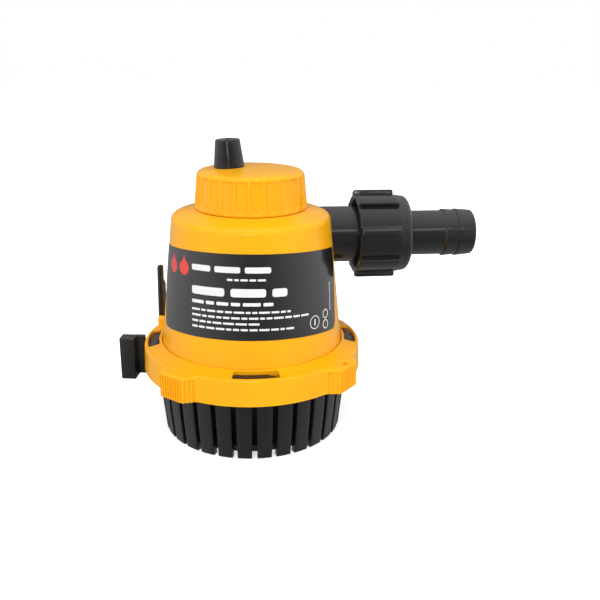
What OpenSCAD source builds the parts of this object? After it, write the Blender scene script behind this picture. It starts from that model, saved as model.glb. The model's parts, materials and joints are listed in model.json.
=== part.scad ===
// Cartridge bilge pump: a slotted strainer base, a conical pump body held to it by a bayonet
// lock ring, a screw-in motor cartridge under the ribbed cap, and a side outlet with a union
// nut and hose barb. Origin: pump axis at the underside of the base. +X is the outlet, +Z up.

/* [Strainer base] */
// Outer radius of the strainer at its foot
foot_r = 38; // [37:0.1:38.4]
// Outer radius of the strainer under the lock ring
strainer_top_r = 40; // [39.8:0.1:40.2]
// Number of water slots around the strainer
slot_count = 30; // [20:2:32]
// Width of one water slot
slot_w = 2.1; // [1.6:0.1:2.4]
// Thickness of the strainer floor
floor_t = 2.5; // [2:0.1:3.5]
// Pitch circle of the floor's screw holes
screw_pcd = 48; // [40:1:54]
// Radius of a floor screw hole
screw_hole_r = 2.3; // [1.8:0.1:2.6]
// Bearing of the accessory rail, degrees from the outlet
rail_at = 169.5; // [168:0.5:171]
// Width of the accessory rail's head
rail_w = 5.6; // [5:0.2:7]
// Bearing of the lock lever, degrees from the outlet
lever_at = 148; // [147:0.5:149]

/* [Lock ring] */
// Outer radius of the lock ring
ring_r = 46; // [45.9:0.05:46.1]
// Height of the lock ring's lower edge
ring_z = 27; // [26.8:0.1:27.4]
// Reach of a finger lobe from the pump axis
lobe_r = 50; // [48.5:0.5:51]
// Bearing of the front window over a bayonet lug
window_at = -91.5; // [-93:0.5:-90]
// Bearing of the right finger lobe
lobe_at = -42.8; // [-44:0.1:-42]

/* [Pump body] */
// Outer radius of the body cone at the lock ring
cone_low_r = 37.75; // [37.7:0.01:37.85]
// Outer radius of the body cone at the shoulder
cone_top_r = 32.5; // [32:0.1:33]
// Height of the shoulder
shoulder_z = 89.7; // [89.2:0.1:90]
// Wall thickness of the body
wall = 2.5; // [2:0.1:2.8]
// Height of the outlet's axis
outlet_z = 80.9; // [80:0.1:81]
// Offset of the outlet's axis from the pump axis, for a part-tangential outlet
outlet_y = 6.8; // [6.4:0.1:7]

/* [Outlet] */
// Outer radius of the outlet tube
tube_r = 11.8; // [11.4:0.1:11.8]
// Radius of the hose barb's shank, for 19 mm hose
shank_r = 9.5; // [9.4:0.05:9.6]
// Radius of the hose barb's crests
barb_r = 10.1; // [10:0.05:10.3]
// End of the hose barb, from the pump axis
barb_end = 95.5; // [94.5:0.5:97]
// Outer radius of the union nut
nut_r = 16.55; // [16.3:0.05:16.8]
// Reach of the union nut's grip ribs
nut_rib_r = 18.5; // [17.6:0.1:18.9]

/* [Cap and cable] */
// Outer radius of the cap at its lower edge
cap_r = 22.95; // [22.8:0.05:23.2]
// Height of the cap's crown
cap_top = 110.8; // [110.5:0.1:111]
// Number of flutes around the cap
flute_count = 24; // [18:2:26]
// Cable gland's distance from the axis along the outlet direction
gland_x = -8.5; // [-9:0.1:-8.2]
// Cable gland's distance from the axis across the outlet direction
gland_y = 1.7; // [1.4:0.1:2.2]
// Height of the cable gland's top
gland_top = 121.7; // [119:0.1:122]

/* [Motor and impeller] */
// Outer radius of the motor can
can_r = 17.6; // [17.4:0.05:17.65]
// Radius of the motor shaft
shaft_r = 1.5875; // [1.5:0.0125:1.6]
// Number of armature poles
pole_count = 5; // [3:2:5]
// Outer radius of the impeller
impeller_r = 18; // [15:0.5:20]
// Number of impeller vanes
vane_count = 6; // [4:1:8]

/* [Hidden] */
$fn = 96;
eps = 0.01;
// Clearance of a running fit, and of a loose fit
run = 0.05;
gap = 0.1;

// Strainer heights
floor_z = 2.2;
slot_top = 25.5;
base_top = 34.3;
base_in_r = 37.2;
foot_step_z = 12;
foot_step_r = foot_r + 1.1;
slot_pitch = 360 / slot_count;
slot_phase = 3.5;

// Lock ring heights and radii
ring_wall_in = 43.9;
web_z = 36.6;
ring_lip_r = 38.1;
tab_z = 28;
tab_top = 31.3;
lug_z = 31.6;
lug_top = 37;
lug_slope = 0.19;
lug_r = 43.6;
lug_half = 12;
window_half = 12.25;
groove_in = 39.7;
groove_z = 37.08;
window_in = 39.5;
window_out = 44.2;
lobe_half = 6.3;
lobe_foot = 11.7;
hook_at = lever_at + 6;

// Lock lever
lever_r = 46.4;
lever_t = 1.6;
lever_w = 3.2;
lever_pivot_r = 46.6;
lever_pivot_z = 21.5;
lever_eye_r = 2.4;
lever_pin_r = 1.5;
lever_top = 64;
ear_t = 2;
ear_gap = 6.4;
lever_lean = 1.2;

// Body shell heights
flange_z = 34.4;
flange_top = 36.4;
flange_r = 39.6;
cone_z = 39.3;
neck_in = 19;
neck_out = 20.6;
neck_top = 101.3;
collar_z = 94.6;
counterbore_r = 35.4;
counterbore_top = 38.5;
boss_at = [60, 180, 300];
boss_pos = 28.8;
boss_r = 3;
boss_top = 50;
pilot_r = 1.3;
slope = (cone_low_r - cone_top_r) / (shoulder_z - cone_z);

// Inlet plate
plate_r = 36.9;
plate_t = 3;
plate_z = flange_z - gap - plate_t;
eye_r = 9;
register_r = 33.55;

// Outlet, measured along +X
port_in = 24.5;
collar_in = 46.4;
collar_out = 58.6;
collar_r = 14.5;
bore_r = 7.7;
tail_flange = 60.5;
tail_flange_end = 62.7;
nut_in = 44;
nut_out = 66.7;
nut_shoulder = 62.8;
nut_bore = collar_r + gap;
crest_1 = 82.5;
crest_2 = 87.9;
crest_land = 2;
rib_count = 8;
rib_phase = 30;
flute_phase = 2.5;

// Motor cartridge heights
seal_z = 44;
case_z = 48.5;
can_z = 51.1;
can_top = 97;
case_r = 18.9;
case_flange_z = 102.95;
case_flange_r = 20.4;
cap_ceiling = 106.8;
bearing_r = 4;
bearing_len = 3.5;
bell_top = 100;
commutator_z = 91;
commutator_r = 4;
brush_z = 94.5;
brush_half = 1.75;
brush_back = 9.5;
brush_tube_out = 14.4;
core_z = 60;
core_top = 86;
core_r = 12.9;
wire_r = 1.2;
wire_gap = 2.1;
impeller_z = 35.2;
impeller_top = 43;

function cone_r(z) = cone_low_r - (z - cone_z) * slope;
// Points of an arc from angle a0 to a1 about (cx, cy)
function arc(cx, cy, r, a0, a1, n = 8) =
    [for (i = [0:n]) [cx + r * cos(a0 + (a1 - a0) * i / n), cy + r * sin(a0 + (a1 - a0) * i / n)]];

// ---- shared shapes ----

module ring_solid(r_in, r_out, z_low, z_high) {
    translate([0, 0, z_low]) difference() {
        cylinder(r = r_out, h = z_high - z_low);
        translate([0, 0, -1]) cylinder(r = r_in, h = z_high - z_low + 2);
    }
}

module sector(r_in, r_out, z_low, z_high, from, sweep) {
    rotate_extrude(angle = sweep, start = from)
        translate([r_in, z_low]) square([r_out - r_in, z_high - z_low]);
}

module torus(major, minor, z) {
    translate([0, 0, z]) rotate_extrude() translate([major, 0]) circle(r = minor, $fn = 32);
}

// Turns a shape built along +Z to lie along the outlet axis
module along_outlet() {
    translate([0, outlet_y, outlet_z]) rotate([0, 90, 0]) children();
}

module bar(r, z_low, z_high) {
    translate([0, 0, z_low]) cylinder(r = r, h = z_high - z_low);
}

// ---- strainer base ----

module strainer_cup() {
    foot_round = 0.9;
    rotate_extrude() polygon(concat(
        [[foot_r - 3.6, 0]],
        arc(foot_r - foot_round, foot_round, foot_round, -90, 0),
        [
            [foot_step_r, foot_step_z],
            [strainer_top_r, ring_z],
            [strainer_top_r, base_top],
            [base_in_r, base_top],
            [base_in_r, ring_z - 1],
            [foot_r - 2.6, foot_round + 3.6]
        ]
    ));
}

module water_slots() {
    for (i = [0:slot_count - 1])
        rotate([0, 0, slot_phase + i * slot_pitch])
            translate([foot_r - 5, -slot_w / 2, -1])
                cube([9, slot_w, slot_top + 1]);
}

module strainer_floor() {
    pad_r = 5;
    difference() {
        union() {
            bar(foot_r - 2, floor_z, floor_z + floor_t);
            for (a = [45:90:315])
                rotate([0, 0, a]) translate([screw_pcd / 2, 0, 0]) bar(pad_r, 0, floor_z + floor_t);
        }
        for (a = [45:90:315])
            rotate([0, 0, a]) translate([screw_pcd / 2, 0, -1]) cylinder(r = screw_hole_r, h = 10);
    }
}

module bayonet_lugs() {
    ramp = 14;
    for (i = [0:3]) rotate([0, 0, window_at + 90 * i]) difference() {
        rotate_extrude(angle = 2 * lug_half, start = -lug_half) polygon([
            [strainer_top_r - 0.2, lug_z],
            [lug_r, lug_z],
            [lug_r, lug_top],
            [strainer_top_r - 0.2, lug_top + lug_slope * (lug_r - strainer_top_r + 0.2)]
        ]);
        translate([strainer_top_r, lug_r * sin(lug_half) * 0.55, lug_top])
            rotate([-ramp, 0, 0]) cube([10, 10, 4]);
    }
}

// Upright L-shaped rail that takes a clip-on switch
module accessory_rail() {
    arm_z = 20.4;
    head_z = 18.7;
    rail_top = 37.8;
    head_in = 50;
    head_out = 56.6;
    side = 1.2;
    arm_t = 2.2;
    rotate([0, 0, rail_at]) {
        translate([head_in, side, head_z]) cube([head_out - head_in, rail_w, rail_top - head_z]);
        translate([ring_r + 0.3, side, arm_z]) cube([head_in - ring_r + 1, arm_t, rail_top - arm_z]);
        translate([strainer_top_r - 2, side, arm_z])
            cube([head_in - strainer_top_r + 3, arm_t, ring_z - 0.4 - arm_z]);
    }
}

module lever_ears() {
    ear_out = lever_pivot_r + 3;
    rotate([0, 0, lever_at]) for (side = [-1, 1])
        translate([0, side * (ear_gap + ear_t) / 2, 0]) difference() {
            union() {
                translate([strainer_top_r - 2, -ear_t / 2, 17.5])
                    cube([lever_pivot_r - strainer_top_r + 2, ear_t, 8]);
                translate([lever_pivot_r, ear_t / 2, lever_pivot_z])
                    rotate([90, 0, 0]) cylinder(r = ear_out - lever_pivot_r, h = ear_t);
            }
            translate([lever_pivot_r, ear_t, lever_pivot_z])
                rotate([90, 0, 0]) cylinder(r = lever_pin_r + run, h = 2 * ear_t);
        }
}

module strainer_base() {
    color("#2a2a2b") union() {
        difference() {
            union() {
                strainer_cup();
                strainer_floor();
            }
            water_slots();
        }
        bayonet_lugs();
        accessory_rail();
        lever_ears();
    }
}

// ---- lock ring ----

module ring_profile() {
    edge = 1.1;
    polygon(concat(
        [[ring_wall_in, ring_z], [ring_r, ring_z]],
        arc(ring_r - 0.35 - edge, 36.6, edge, 0, 78),
        [[ring_lip_r, 39.25], [ring_lip_r, web_z], [groove_in, web_z]],
        [[groove_in, groove_z + lug_slope * (ring_wall_in - groove_in)], [ring_wall_in, groove_z]]
    ));
}

module finger_lobe() {
    top_z = 37.5;
    groove_r = 0.6;
    groove_out = 0.28;
    face = lobe_r * cos(lobe_half);
    corner_y = lobe_r * sin(lobe_half);
    difference() {
        translate([0, 0, ring_z]) linear_extrude(top_z - ring_z) polygon([
            [44.2 * cos(lobe_foot + 1), 44.2 * sin(lobe_foot + 1)],
            [ring_r * cos(lobe_foot), ring_r * sin(lobe_foot)],
            [face, corner_y],
            [face, -corner_y],
            [ring_r * cos(lobe_foot), -ring_r * sin(lobe_foot)],
            [44.2 * cos(lobe_foot + 1), -44.2 * sin(lobe_foot + 1)]
        ]);
        bar(44, ring_z - 1, top_z + 1);
        for (i = [-3:3])
            translate([face + groove_out, i * 1.55, ring_z - 1]) cylinder(r = groove_r, h = 9.5, $fn = 24);
        for (side = [-1, 1], k = [0.25, 0.5, 0.75])
            translate([
                face + groove_out - k * (face - ring_r * cos(lobe_foot)) + 0.2,
                side * (corner_y + k * (ring_r * sin(lobe_foot) - corner_y) + 0.15),
                ring_z - 1
            ]) cylinder(r = groove_r, h = 9.5, $fn = 24);
    }
}

module catch_hook() {
    hook_r = 1.45;
    rotate([0, 0, hook_at]) translate([41.7, 0, 37.6]) {
        translate([0, -hook_r, 0]) cube([3.4, 2 * hook_r, 2.8]);
        translate([0, 0, 2.8]) rotate([0, 90, 0]) cylinder(r = hook_r, h = 3.4);
    }
}

module lock_ring() {
    color("#fbae17") union() {
        difference() {
            rotate_extrude() ring_profile();
            for (i = [0:3])
                sector(window_in, window_out, 36, 41, window_at + 90 * i - window_half, 2 * window_half);
        }
        for (i = [0:3])
            sector(40.5, ring_wall_in + 0.6, tab_z, tab_top, window_at + 90 * i - 11, 22);
        for (i = [-1:1]) rotate([0, 0, lobe_at + 90 * i]) finger_lobe();
        catch_hook();
    }
}

// ---- lock lever ----

module lock_lever() {
    wide_z = 57;
    wide = 1.4;
    pin_reach = ear_gap / 2 + ear_t;
    color("#2a2a2b") rotate([0, 0, lever_at]) union() {
        // Finger blade with a rounded top, wider below, leaning in a little towards the body
        translate([lever_pivot_r, 0, lever_pivot_z]) rotate([0, -lever_lean, 0])
            translate([lever_r - lever_pivot_r, 0, -lever_pivot_z]) {
                translate([0, -lever_w / 2, lever_pivot_z])
                    cube([lever_t, lever_w, lever_top - 1.2 - lever_pivot_z]);
                translate([0, 0, lever_top - lever_w / 2])
                    rotate([0, 90, 0]) cylinder(r = lever_w / 2, h = lever_t);
                rotate([90, 0, 90]) linear_extrude(lever_t) polygon([
                    [0, 28],
                    [-lever_w / 2 - wide, 28],
                    [-lever_w / 2 - wide, wide_z - 3],
                    [-lever_w / 2, wide_z],
                    [0, wide_z]
                ]);
            }
        // Eye and trunnions
        translate([lever_pivot_r, (ear_gap - 0.4) / 2, lever_pivot_z])
            rotate([90, 0, 0]) cylinder(r = lever_eye_r, h = ear_gap - 0.4);
        translate([lever_pivot_r, pin_reach, lever_pivot_z])
            rotate([90, 0, 0]) cylinder(r = lever_pin_r, h = 2 * pin_reach);
    }
}

// ---- pump body ----

module shell_outline() {
    fillet = 3;
    turn = 78;
    polygon(concat(
        [[0, flange_z], [flange_r, flange_z], [flange_r, flange_top], [ring_lip_r - gap, flange_top]],
        [[ring_lip_r - gap, cone_z], [cone_r(cone_z + 0.8), cone_z + 0.8]],
        arc(cone_r(shoulder_z) - fillet, shoulder_z, fillet, 0, turn),
        [[cap_r, collar_z], [neck_out, collar_z], [neck_out, neck_top], [0, neck_top]]
    ));
}

module shell_cavity() {
    ceiling = collar_z - 3.4;
    polygon(concat(
        [[0, flange_z - 1], [counterbore_r, flange_z - 1], [counterbore_r, counterbore_top]],
        [[cone_r(counterbore_top) - wall, counterbore_top + 0.2]],
        arc(cone_r(shoulder_z) - wall - 1.4, shoulder_z - 1.2, 1.4, 0, 78, 4),
        [[neck_in + 2, ceiling], [neck_in, ceiling], [neck_in, neck_top + 1], [0, neck_top + 1]]
    ));
}

module body_shell() {
    color("#fbae17") difference() {
        union() {
            difference() {
                rotate_extrude() shell_outline();
                rotate_extrude() shell_cavity();
            }
            // Inner boss that the outlet spigot is bonded into
            intersection() {
                along_outlet() bar(14.5, port_in, 36);
                rotate_extrude() shell_outline();
            }
            // Screw bosses for the inlet plate, webbed to the wall
            for (a = boss_at) rotate([0, 0, a]) {
                translate([boss_pos, 0, 0]) bar(boss_r, flange_z + 2.6, boss_top);
                translate([boss_pos, -1.5, counterbore_top]) cube([cone_r(boss_top) - 1 - boss_pos, 3, 9]);
            }
        }
        along_outlet() bar(tube_r + run, port_in - 1, 60);
        for (a = boss_at) rotate([0, 0, a]) translate([boss_pos, 0, 0]) bar(pilot_r, flange_z, boss_top - 3);
    }
}

module body_label() {
    label_t = 0.2;
    low = 49;
    high = 82;
    color("#3a3a3b") rotate_extrude(angle = 161, start = 180) polygon([
        [cone_r(low), low],
        [cone_r(low) + label_t, low],
        [cone_r(high) + label_t, high],
        [cone_r(high), high]
    ]);
}

// ---- inlet plate ----

module inlet_plate() {
    color("#2f2f30") difference() {
        union() {
            bar(plate_r, plate_z, plate_z + plate_t);
            ring_solid(register_r - 1.5, register_r, plate_z, flange_z + 2.4);
            // Raised lip around the eye guides water into the impeller
            ring_solid(eye_r, eye_r + 1.6, plate_z - 1.6, plate_z + 1);
        }
        bar(eye_r, plate_z - 3, plate_z + plate_t + 1);
        for (a = boss_at) rotate([0, 0, a]) translate([boss_pos, 0, 0])
            bar(pilot_r + 0.25, plate_z - 1, plate_z + 5);
    }
}

module inlet_screws() {
    head_r = 2.8;
    head_h = 1.7;
    color("#c8cacc") for (a = boss_at) rotate([0, 0, a]) translate([boss_pos, 0, 0]) difference() {
        union() {
            bar(head_r, plate_z - head_h, plate_z);
            bar(pilot_r, plate_z - eps, plate_z + 11);
        }
        for (turn = [0, 90]) rotate([0, 0, turn])
            translate([-1.7, -0.35, plate_z - head_h - 1]) cube([3.4, 0.7, 1.9]);
    }
}

module plate_oring() {
    seat = (counterbore_r - register_r) / 2;
    color("#1c1c1c") torus(register_r + seat, seat - 0.02, flange_z + 0.85);
}

// ---- outlet ----

module outlet_spigot() {
    groove = 28;
    color("#2a2a2b") along_outlet() difference() {
        rotate_extrude() polygon([
            [8.3, port_in],
            [tube_r, port_in],
            [tube_r, groove],
            [tube_r - 1.2, groove],
            [tube_r - 1.2, groove + 1.6],
            [tube_r, groove + 1.6],
            [tube_r, collar_in],
            [collar_r - 0.8, collar_in],
            [collar_r, collar_in + 0.8],
            [collar_r, collar_out],
            [8.3, collar_out]
        ]);
    }
}

module spigot_oring() {
    color("#1c1c1c") along_outlet() torus(tube_r - 0.58, 0.6, 28.8);
}

module hose_barb() {
    color("#2a2a2b") along_outlet() rotate_extrude() polygon(concat(
        [
            [bore_r, tail_flange],
            [collar_r - 0.4, tail_flange],
            [collar_r - 0.4, tail_flange_end],
            [shank_r, tail_flange_end],
            [shank_r, crest_1 - 0.3],
            [barb_r, crest_1],
            [barb_r, crest_1 + 0.8],
            [barb_r - 0.4, crest_2 - 0.1],
            [barb_r, crest_2],
            [barb_r, crest_2 + crest_land]
        ],
        arc(barb_r - 1.4, barb_end - 0.9, 0.9, 12, 90, 6),
        [[bore_r, barb_end - 0.3]]
    ));
}

module union_washer() {
    color("#1c1c1c") along_outlet() ring_solid(8.6, 13.6, collar_out + gap, tail_flange - gap);
}

module union_nut() {
    rib_in = nut_in + 0.2;
    rib_out = 61.2;
    rib_w = 3.4;
    color("#2a2a2b") along_outlet() union() {
        rotate_extrude() polygon(concat(
            [
                [nut_bore + 0.7, nut_in],
                [nut_r - 0.5, nut_in],
                [nut_r, nut_in + 0.6],
                [nut_r - 0.1, 62.2]
            ],
            arc(nut_r - 3.1, nut_out - 2.4, 2.4, 20, 90),
            [
                [shank_r + 0.2, nut_out],
                [shank_r + 0.2, nut_shoulder],
                [nut_bore, nut_shoulder],
                [nut_bore, nut_in + 0.7]
            ]
        ));
        for (i = [0:rib_count - 1]) rotate([0, 0, rib_phase + i * 360 / rib_count]) {
            translate([nut_r - 1, -rib_w / 2, rib_in + 0.6])
                cube([nut_rib_r - nut_r + 1, rib_w, rib_out - rib_in - 1.2]);
            translate([nut_r - 1, -rib_w / 2, rib_in])
                cube([nut_rib_r - nut_r + 0.5, rib_w, rib_out - rib_in]);
        }
    }
}

// ---- cap and cable ----

module cap_outline() {
    edge_r = 2.4;
    polygon(concat(
        [[0, collar_z + gap], [cap_r - 0.3, collar_z + gap], [cap_r, collar_z + 0.5]],
        arc(21.75 - edge_r, cap_top - 3.4, edge_r, 3, 78),
        [[12, cap_top - 0.2], [0, cap_top]]
    ));
}

// One flute cutter: a round-ended rod laid along the cap's sloping side
module flute_cutter() {
    rod_r = 3.7;
    rod_len = 6.6;
    low = 98.6;
    lean = 5.6;
    translate([25.36, 0, low]) rotate([0, -lean, 0]) {
        cylinder(r = rod_r, h = rod_len);
        sphere(r = rod_r);
        translate([0, 0, rod_len]) sphere(r = rod_r);
    }
}

module top_cap() {
    color("#fbae17") difference() {
        rotate_extrude() cap_outline();
        bar(neck_out + 0.15, collar_z - 1, cap_ceiling);
        translate([gland_x, gland_y, 0]) bar(4.05, cap_ceiling - 1, cap_top + 1);
        for (i = [0:flute_count - 1]) rotate([0, 0, flute_phase + i * 360 / flute_count]) flute_cutter();
    }
}

module cable_gland() {
    seat = cap_top + 0.05;
    color("#222223") translate([gland_x, gland_y, 0]) difference() {
        union() {
            rotate_extrude() polygon(concat(
                [[0, seat], [6.1, seat]],
                arc(4.3, gland_top - 0.7, 0.7, 5, 90, 5),
                [[0, gland_top]]
            ));
            bar(4, cap_ceiling - gap, seat + eps);
            bar(5.2, cap_ceiling - 1.6, cap_ceiling - gap);
        }
        for (side = [-1, 1]) translate([0, side * wire_gap, 0])
            bar(wire_r + gap, cap_ceiling - 3, gland_top + 1);
    }
}

module cap_oring() {
    color("#1c1c1c") torus((neck_in + neck_out) / 2, 0.78, neck_top + 0.82);
}

// ---- motor cartridge ----

module motor_case() {
    seal_r = 6;
    color("#39393b") difference() {
        union() {
            bar(case_r, case_z, case_flange_z + 1.5);
            bar(case_flange_r, case_flange_z, case_flange_z + 1.5);
            bar(8, seal_z, case_z + 1);
        }
        bar(can_r + run, can_z - run, case_flange_z + 3);
        bar(seal_r, seal_z - 1, case_z);
        bar(shaft_r + 1.2, seal_z - 1, can_z);
        for (side = [-1, 1]) translate([side * 11, 0, 0]) bar(1.35, case_z - 1, can_z);
    }
}

module motor_can() {
    color("#b9bcc0") difference() {
        bar(can_r, can_z, can_top);
        bar(can_r - 1, can_z + 1.5, can_top + 1);
        bar(bearing_r, can_z - 1, can_z + 3);
        for (side = [-1, 1]) translate([side * 11, 0, 0]) bar(1.25, can_z - 1, can_z + 3);
    }
}

module motor_screws() {
    color("#c8cacc") for (side = [-1, 1]) translate([side * 11, 0, 0]) {
        bar(2.4, case_z - 1.6, case_z - eps);
        bar(1.25, case_z - 0.1, can_z + 1.4);
    }
}

module magnets() {
    color("#5a5a5e") for (at = [25, 205]) sector(13.6, can_r - 1.02, core_z - 2, core_top + 2, at, 130);
}

module end_bell() {
    color("#e8e6df") difference() {
        union() {
            bar(can_r - 1.05, can_top - 6, can_top);
            bar(can_r - 0.1, can_top, bell_top);
            bar(6, bell_top - 1, bell_top + 3);
        }
        bar(brush_tube_out + 0.3, can_top - 7, can_top + 0.4);
        bar(bearing_r, bell_top - 1.5, bell_top + 4);
        bar(commutator_r + 0.9, can_top - 1, bell_top - 1.5);
        bar(shaft_r + 1, can_top - 1, bell_top + 4);
    }
}

module lower_bearing() {
    color("#c79a55") ring_solid(shaft_r + run, bearing_r, can_z, can_z + bearing_len);
}

module upper_bearing() {
    color("#c79a55") ring_solid(shaft_r + run, bearing_r, bell_top - 1.5, bell_top + 2.6);
}

module shaft_seal() {
    color("#1c1c1c") ring_solid(shaft_r + run, 6, seal_z + 0.4, case_z - gap);
}

// Rectangular tubes that guide the brushes, one each side
module brush_tubes() {
    outer = brush_half + 0.75;
    color("#c9a227") for (turn = [0, 180]) rotate([0, 0, turn]) difference() {
        translate([commutator_r + 1, -outer, brush_z - outer])
            cube([brush_tube_out - commutator_r - 1, 2 * outer, 2 * outer]);
        translate([commutator_r, -brush_half - run, brush_z - brush_half - run])
            cube([9.4, 2 * (brush_half + run), 2 * (brush_half + run)]);
    }
}

module brush() {
    color("#3b3b3b") difference() {
        translate([commutator_r - 0.6, -brush_half, brush_z - brush_half])
            cube([brush_back - commutator_r + 0.6, 2 * brush_half, 2 * brush_half]);
        bar(commutator_r + 0.04, brush_z - 4, brush_z + 4);
    }
}

module brush_a() {
    brush();
}

module brush_b() {
    rotate([0, 0, 180]) brush();
}

// Spring drawn as evenly spaced turns joined by one side wire
module brush_spring() {
    turns = 5;
    coil_r = 1.2;
    wire = 0.22;
    room = 13.3 - brush_back;
    color("#b9bcc0") translate([brush_back, 0, brush_z]) rotate([0, 90, 0]) union() {
        for (i = [0:turns - 1]) torus(coil_r, wire, wire + 0.05 + i * (room - 2 * wire - 0.1) / (turns - 1));
        translate([coil_r, 0, 0]) bar(wire * 0.8, wire + 0.05, room - wire - 0.05);
    }
}

module brush_spring_a() {
    brush_spring();
}

module brush_spring_b() {
    rotate([0, 0, 180]) brush_spring();
}

module terminals() {
    color("#c9a227") for (side = [-1, 1]) translate([gland_x, gland_y + side * wire_gap, 0]) {
        translate([-1.2, -1.2, bell_top + 0.05]) cube([2.4, 2.4, 1]);
        translate([-0.4, -1.2, bell_top + 1]) cube([0.8, 2.4, 2]);
    }
}

module lead(side) {
    translate([gland_x, gland_y + side * wire_gap, 0]) bar(wire_r, bell_top + 3.05, gland_top - 1.8);
}

module positive_lead() {
    color("#8a4a2b") lead(1);
}

module negative_lead() {
    color("#1d1d1e") lead(-1);
}

// ---- rotor ----

module shaft() {
    color("#d5d8db") bar(shaft_r, impeller_z - 0.9, bell_top + 2.8);
}

module armature_core() {
    slot_half = 24;
    opening = 2.4;
    color("#8d9196") difference() {
        ring_solid(shaft_r, core_r, core_z, core_top);
        for (i = [0:pole_count - 1]) rotate([0, 0, (i + 0.5) * 360 / pole_count]) {
            sector(5.8, 10.5, core_z - 1, core_top + 1, -slot_half, 2 * slot_half);
            translate([10.4, -opening / 2, core_z - 1]) cube([4, opening, core_top - core_z + 2]);
        }
    }
}

module windings() {
    coil_half = 22.5;
    color("#b4692f") for (i = [0:pole_count - 1]) rotate([0, 0, (i + 0.5) * 360 / pole_count])
        sector(6, 10.3, core_z - 3, core_top + 3, -coil_half, 2 * coil_half);
}

module commutator() {
    slit = 0.4;
    color("#b87333") difference() {
        union() {
            ring_solid(shaft_r, commutator_r, commutator_z, can_top + 0.9);
            ring_solid(shaft_r, commutator_r + 0.8, core_top + 3.3, commutator_z);
        }
        for (i = [0:pole_count - 1]) rotate([0, 0, i * 360 / pole_count])
            translate([commutator_r - 0.8, -slit / 2, commutator_z]) cube([1, slit, 8]);
    }
}

module thrust_washers() {
    color("#d9c9a0") {
        ring_solid(shaft_r, 3.4, can_z + bearing_len + 0.1, can_z + bearing_len + 0.7);
        ring_solid(shaft_r, 3.4, can_top + 1.05, bell_top - 1.55);
    }
}

module impeller() {
    vane_t = 1.4;
    vane_low = 35.6;
    disc_t = 1.6;
    hub_r = 4.5;
    color("#dedcd4") difference() {
        union() {
            bar(hub_r, impeller_z, impeller_top);
            bar(impeller_r, impeller_top - disc_t, impeller_top);
            for (i = [0:vane_count - 1]) rotate([0, 0, i * 360 / vane_count])
                translate([hub_r - 1, 0, vane_low]) intersection() {
                    rotate([0, 0, -25]) translate([0, -vane_t / 2, 0])
                        cube([impeller_r, vane_t, impeller_top - vane_low - 1]);
                    translate([1 - hub_r, 0, 0]) cylinder(r = impeller_r - 0.2, h = 20);
                }
        }
        bar(shaft_r, impeller_z - 1, impeller_top + 1);
    }
}

module impeller_clip() {
    color("#b9bcc0") ring_solid(shaft_r, 3, impeller_z - 0.65, impeller_z - 0.05);
}

strainer_base();
lock_ring();
lock_lever();
body_shell();
body_label();
inlet_plate();
inlet_screws();
plate_oring();
outlet_spigot();
spigot_oring();
hose_barb();
union_washer();
union_nut();
top_cap();
cable_gland();
cap_oring();
motor_case();
motor_can();
motor_screws();
magnets();
end_bell();
lower_bearing();
upper_bearing();
shaft_seal();
brush_tubes();
brush_a();
brush_b();
brush_spring_a();
brush_spring_b();
terminals();
positive_lead();
negative_lead();
shaft();
armature_core();
windings();
commutator();
thrust_washers();
impeller();
impeller_clip();
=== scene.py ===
import json
import math
import random

import bmesh
import bpy
from mathutils import Matrix, Vector


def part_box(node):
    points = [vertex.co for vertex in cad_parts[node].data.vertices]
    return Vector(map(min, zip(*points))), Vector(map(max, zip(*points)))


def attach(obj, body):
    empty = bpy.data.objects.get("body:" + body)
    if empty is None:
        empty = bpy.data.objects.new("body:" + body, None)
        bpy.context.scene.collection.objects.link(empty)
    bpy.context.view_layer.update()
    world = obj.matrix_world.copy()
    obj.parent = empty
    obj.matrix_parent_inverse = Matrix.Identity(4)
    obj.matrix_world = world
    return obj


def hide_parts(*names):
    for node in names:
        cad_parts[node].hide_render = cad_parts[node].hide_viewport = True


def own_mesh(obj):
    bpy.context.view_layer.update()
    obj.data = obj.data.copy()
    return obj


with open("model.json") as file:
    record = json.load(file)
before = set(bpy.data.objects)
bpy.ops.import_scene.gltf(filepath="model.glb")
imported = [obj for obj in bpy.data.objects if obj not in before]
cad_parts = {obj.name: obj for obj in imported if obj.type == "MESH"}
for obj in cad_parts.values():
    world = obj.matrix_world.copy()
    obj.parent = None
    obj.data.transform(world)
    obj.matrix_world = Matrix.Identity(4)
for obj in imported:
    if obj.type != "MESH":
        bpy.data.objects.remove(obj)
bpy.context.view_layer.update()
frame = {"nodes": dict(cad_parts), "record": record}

MM = 0.001
UP = Vector((0, 0, 1))


# ---------------------------------------------------------------- sizes, millimetres
def low_mm(node):
    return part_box(node)[0] / MM


def high_mm(node):
    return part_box(node)[1] / MM


# Everything stands on z = 0 about the pump axis. The outlet runs along +X.
RING_R = high_mm("lock_ring").y
RING_Z = low_mm("lock_ring").z
RING_IN = RING_R - 2.1
RING_LIP = 38.1
RING_WEB = 36.6
GROOVE_IN = 39.7
GROOVE_Z = 37.08
TOP_SLOPE = 0.19
RIM_Z = 36.9
LOBE_R = 50.0
LOBE_GRIP = 11.4
FLANGE_Z = low_mm("body_shell").z
FLANGE_R = high_mm("body_shell").x
NECK_TOP = high_mm("body_shell").z
CAP_R = high_mm("top_cap").x
CAP_Z = low_mm("top_cap").z
CAP_TOP = high_mm("top_cap").z
CONE_Z = 39.3
CONE_LOW = 37.75
CONE_TOP = 32.5
SHOULDER_Z = 89.7
CONE_SLOPE = (CONE_LOW - CONE_TOP) / (SHOULDER_Z - CONE_Z)
WINDOW_AT = -91.5
LOBE_AT = -42.8
RAIL_AT = 169.5
LEVER_AT = 148.0
LEVER_PIVOT_R = 46.6
LEVER_PIVOT_Z = 21.5
HOOK_AT = LEVER_AT + 6
QUARTERS = [WINDOW_AT + 90 * k for k in range(4)]
FOOT_R = 38.0
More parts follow.
